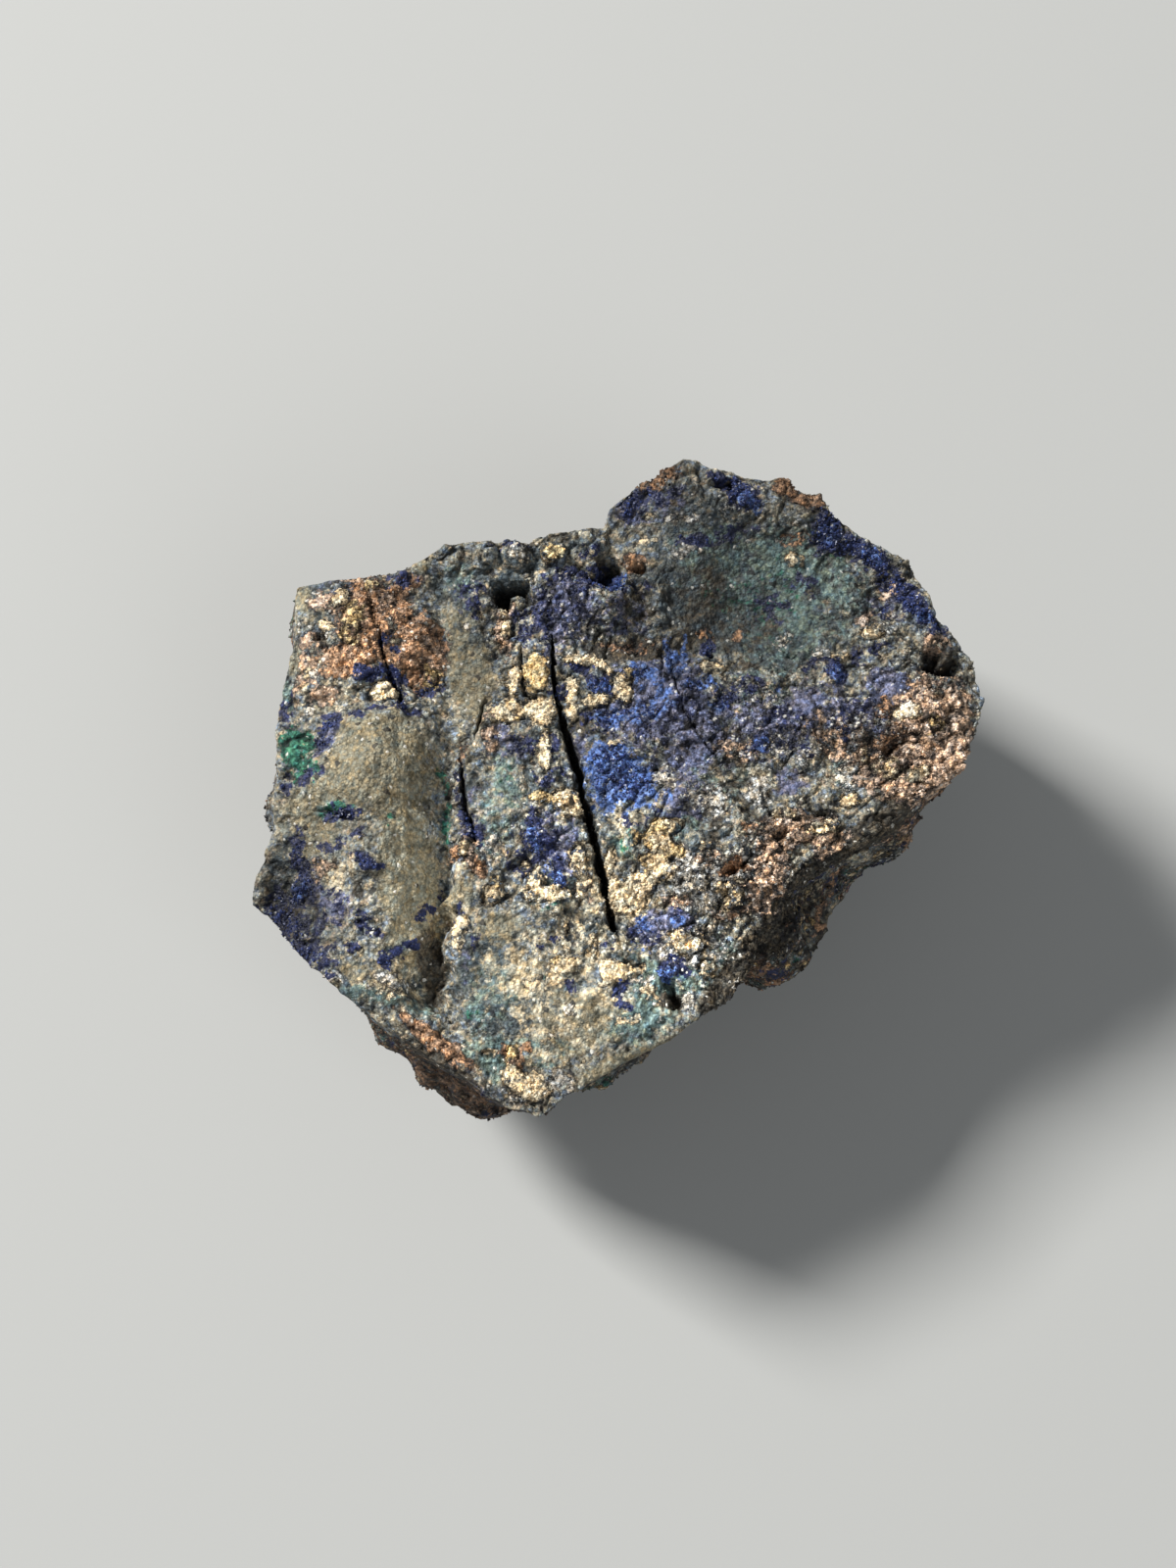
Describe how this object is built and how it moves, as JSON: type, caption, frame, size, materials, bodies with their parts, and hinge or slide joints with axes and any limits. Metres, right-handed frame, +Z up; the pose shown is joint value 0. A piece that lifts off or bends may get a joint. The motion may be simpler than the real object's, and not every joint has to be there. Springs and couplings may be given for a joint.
{
  "type": "azurite mineral specimen",
  "caption": "Broken lump of rock with blue azurite and green malachite crusts on a fissured face, lying on its flattest break.",
  "frame": {"origin": "on the flat break underneath, below the middle of the mineralised face", "axes": "+X to the right and +Y to the back of the mineralised face as it is looked down on, +Z up out of that face"},
  "size_m": [0.078, 0.0728, 0.0402],
  "materials": {
    "copper_rock": "dull grey-green rock with sparkling blue azurite, green malachite and rusty limonite crusts"
  },
  "bodies": {
    "root": {"azurite_specimen": "copper_rock"}
  },
  "joints": []
}
